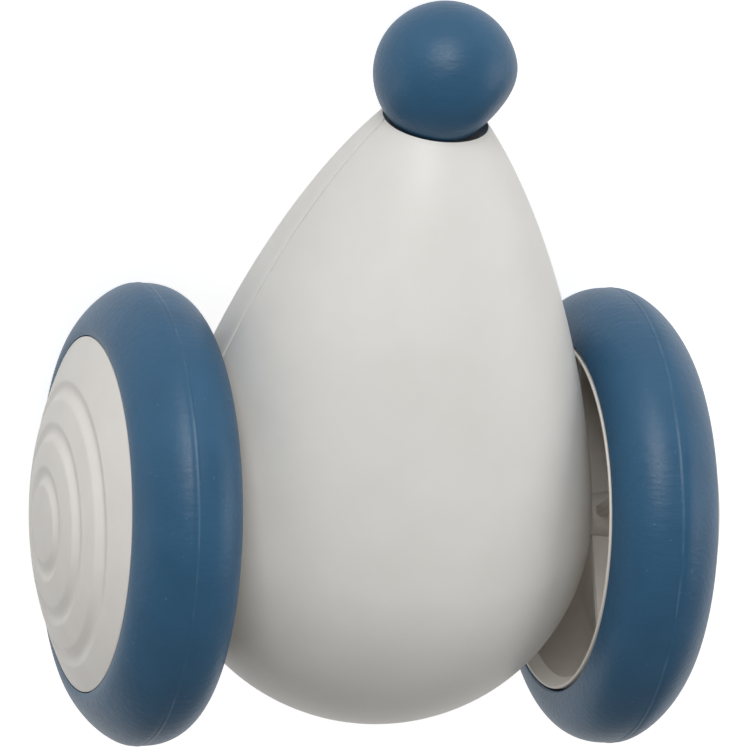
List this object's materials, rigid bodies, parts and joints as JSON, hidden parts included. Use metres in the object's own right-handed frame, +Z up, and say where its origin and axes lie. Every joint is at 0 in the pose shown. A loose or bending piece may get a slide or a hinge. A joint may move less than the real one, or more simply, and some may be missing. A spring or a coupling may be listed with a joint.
{
  "type": "robotic mouse cat toy",
  "caption": "Battery-driven mouse-shaped cat toy: an egg-shaped two-part shell between two large soft-tyred wheels, with a ball for a nose as its third foot.",
  "frame": {"origin": "bottom centre of the bounding box, on the floor between the wheels and the nose", "axes": "+Z up, +Y towards the nose, +X along the axles to the toy's right as it drives"},
  "size_m": [0.089, 0.0974, 0.059],
  "materials": {
    "shell": "satin warm light grey, finely moulded",
    "soft_blue": "matte slate blue soft-touch rubber",
    "white": "satin off-white",
    "gear": "natural acetal",
    "frame": "dark grey moulded",
    "steel": "bright",
    "motor_can": "plated can",
    "brass": "turned",
    "foil": "pouch foil",
    "board": "green lacquer",
    "black": "black moulded",
    "clear": "frosted clear",
    "red_lead": "red insulation"
  },
  "bodies": {
    "body": {"top_shell": "shell", "bottom_shell": "shell", "nose_ball": "soft_blue", "nose_stem": "frame", "chassis": "frame", "battery": "foil", "battery_strap": "frame", "circuit_board": "board", "controller_chip": "black", "charging_socket": "steel", "push_switch": "black", "status_light": "clear", "light_lens": "clear", "battery_lead_red": "red_lead", "battery_lead_black": "black", "left_gear_pin": "steel", "left_motor": "motor_can", "left_gear_plate": "frame", "left_axle_bush": "brass", "left_plate_screw_1": "steel", "left_plate_screw_2": "steel", "left_motor_lead_red": "red_lead", "left_motor_lead_black": "black", "right_gear_pin": "steel", "right_motor": "motor_can", "right_gear_plate": "frame", "right_axle_bush": "brass", "right_plate_screw_1": "steel", "right_plate_screw_2": "steel", "right_motor_lead_red": "red_lead", "right_motor_lead_black": "black", "shell_screw_1": "steel", "shell_screw_2": "steel", "shell_screw_3": "steel", "shell_screw_4": "steel", "board_screw_1": "steel", "board_screw_2": "steel"},
    "left_wheel": {"left_tyre": "soft_blue", "left_rim": "white", "left_hubcap": "white", "left_axle": "steel", "left_axle_gear": "gear", "left_wheel_screw": "steel"},
    "left_compound": {"left_compound_gear": "gear"},
    "left_motor_shaft": {"left_pinion": "brass"},
    "right_wheel": {"right_tyre": "soft_blue", "right_rim": "white", "right_hubcap": "white", "right_axle": "steel", "right_axle_gear": "gear", "right_wheel_screw": "steel"},
    "right_compound": {"right_compound_gear": "gear"},
    "right_motor_shaft": {"right_pinion": "brass"},
    "button": {"power_button": "soft_blue"}
  },
  "joints": [
    {"name": "left_wheel_turn", "type": "hinge", "parent": "body", "child": "left_wheel", "pos_m": [0, -0.01923, 0.0295], "axis": [1, 0, 0], "continuous": true},
    {"name": "left_compound_turn", "type": "hinge", "parent": "body", "child": "left_compound", "pos_m": [0, -0.01109, 0.02668], "axis": [1, 0, 0], "continuous": true},
    {"name": "left_motor_turn", "type": "hinge", "parent": "body", "child": "left_motor_shaft", "pos_m": [0, -0.00294, 0.02386], "axis": [1, 0, 0], "continuous": true},
    {"name": "right_wheel_turn", "type": "hinge", "parent": "body", "child": "right_wheel", "pos_m": [0, -0.01923, 0.0295], "axis": [1, 0, 0], "continuous": true},
    {"name": "right_compound_turn", "type": "hinge", "parent": "body", "child": "right_compound", "pos_m": [0, -0.01109, 0.02668], "axis": [1, 0, 0], "continuous": true},
    {"name": "right_motor_turn", "type": "hinge", "parent": "body", "child": "right_motor_shaft", "pos_m": [0, -0.00294, 0.02386], "axis": [1, 0, 0], "continuous": true},
    {"name": "power_button_press", "type": "slide", "parent": "body", "child": "button", "axis": [0, 0.3274, 0.9449], "range_m": [0, 0.0008], "stiffness_N_per_m": 1500, "springref_m": -0.0003}
  ],
  "couplings": [
    {"joint": "left_compound_turn", "follows": "left_wheel_turn", "ratio": -2.4},
    {"joint": "left_motor_turn", "follows": "left_wheel_turn", "ratio": 5.76},
    {"joint": "right_compound_turn", "follows": "right_wheel_turn", "ratio": -2.4},
    {"joint": "right_motor_turn", "follows": "right_wheel_turn", "ratio": 5.76}
  ]
}
